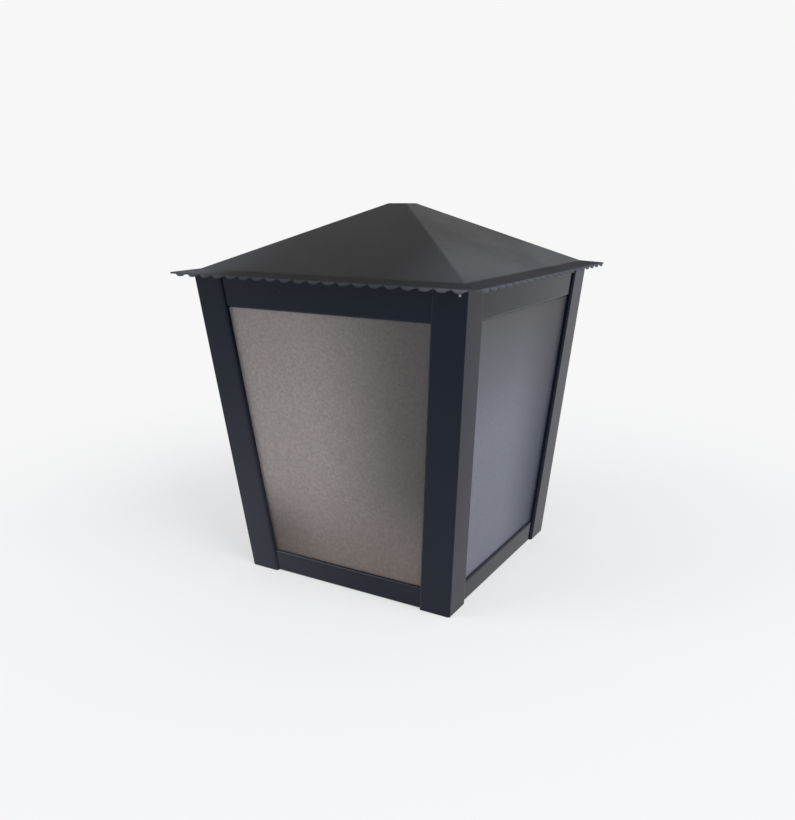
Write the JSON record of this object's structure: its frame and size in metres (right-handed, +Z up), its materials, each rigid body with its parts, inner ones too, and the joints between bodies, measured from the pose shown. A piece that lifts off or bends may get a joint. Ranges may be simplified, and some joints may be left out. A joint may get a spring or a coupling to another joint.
{
  "type": "outdoor wall light",
  "caption": "Square tapered wall lantern of black folded sheet steel with frosted panes under a low hipped roof, on a folded strap wall bracket.",
  "frame": {"origin": "on the wall, midway between the two wall screw holes, in the plane of the bracket's back", "axes": "+Z up the wall, +Y into the wall, so the lantern's front looks along -Y, and +X to the right of someone who faces the lantern"},
  "size_m": [0.2016, 0.2051, 0.2293],
  "materials": {
    "body_paint": "gloss",
    "roof_paint": "satin",
    "frosted_glass": "frosted",
    "zinc_plate": "satin",
    "brass": "polished",
    "black_rubber": "matte",
    "porcelain": "gloss",
    "opal_lamp": "opal",
    "white_plastic": "matte",
    "brown_sleeve": "satin",
    "blue_sleeve": "satin"
  },
  "bodies": {
    "root": {"roof_cap": "roof_paint", "roof_tabs": "zinc_plate", "roof_screws": "zinc_plate", "post_front_left": "body_paint", "post_front_right": "body_paint", "post_back_right": "body_paint", "post_back_left": "body_paint", "top_rail_front": "body_paint", "top_rail_right": "body_paint", "top_rail_back": "body_paint", "top_rail_left": "body_paint", "bottom_rail_front": "body_paint", "bottom_rail_right": "body_paint", "bottom_rail_back": "body_paint", "bottom_rail_left": "body_paint", "pane_front": "frosted_glass", "pane_right": "frosted_glass", "pane_left": "frosted_glass", "back_panel": "body_paint", "pane_clips": "zinc_plate", "cable_grommet": "black_rubber", "wall_bracket": "body_paint", "bracket_screws": "zinc_plate", "bracket_nuts": "zinc_plate", "lamp_strap": "zinc_plate", "strap_screws": "zinc_plate", "lampholder": "porcelain", "lampholder_shell": "brass", "lampholder_contact": "brass", "nipple": "zinc_plate", "nipple_nut": "zinc_plate", "lamp": "opal_lamp", "terminal_block": "white_plastic", "terminal_tubes": "brass", "clamp_screws": "zinc_plate", "terminal_screw": "zinc_plate", "live_lead": "brown_sleeve", "neutral_lead": "blue_sleeve", "earth_screw": "brass", "earth_nut": "brass"}
  },
  "joints": []
}
